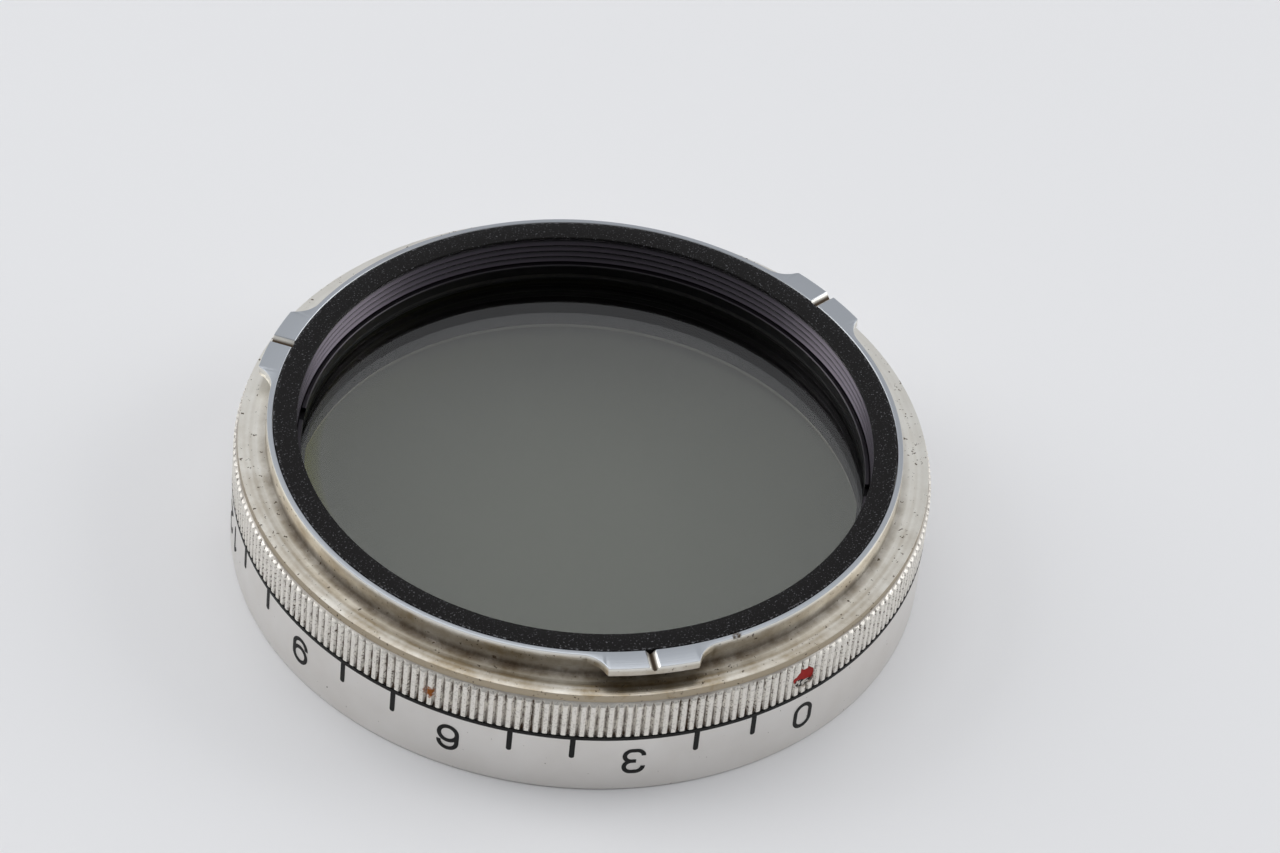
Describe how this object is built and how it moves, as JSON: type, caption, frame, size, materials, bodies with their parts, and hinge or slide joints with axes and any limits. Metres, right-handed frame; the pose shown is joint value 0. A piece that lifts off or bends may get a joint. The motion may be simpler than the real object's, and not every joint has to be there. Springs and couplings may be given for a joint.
{
  "type": "rotating bayonet polarising filter",
  "caption": "Round polarising camera filter: a bayonet collar with a knurled grip, and a numbered ring that turns in it with the dark glass.",
  "frame": {"origin": "centre of the front face of the numbered ring, which is the lowest face with the bayonet up", "axes": "+Z along the optical axis from the front face towards the bayonet; the index dot is at -Y"},
  "size_m": [0.047, 0.047, 0.0103],
  "materials": {
    "turned_aluminium": "turned, bright and slightly stained",
    "satin_aluminium": "satin anodised",
    "black_anodised_aluminium": "matt black anodised",
    "black_enamel": "black enamel fill",
    "red_enamel": "red enamel fill, chipped",
    "spring_bronze": "phosphor bronze strip",
    "neutral_glass": "polished flat glass",
    "polarising_film": "neutral dark polarising film"
  },
  "bodies": {
    "mount": {"bayonet_ring": "turned_aluminium", "index_dot": "red_enamel", "friction_spring": "spring_bronze"},
    "filter": {"filter_cell": "black_anodised_aluminium", "scale_ring": "satin_aluminium", "scale_line": "black_enamel", "scale_ticks": "black_enamel", "scale_numerals": "black_enamel", "retaining_ring": "black_anodised_aluminium", "rear_glass": "neutral_glass", "polarising_film": "polarising_film", "front_glass": "neutral_glass"}
  },
  "joints": [
    {"name": "filter_rotation", "type": "hinge", "parent": "mount", "child": "filter", "pos_m": [0, 0, 0.006], "axis": [0, 0, 1], "continuous": true}
  ]
}
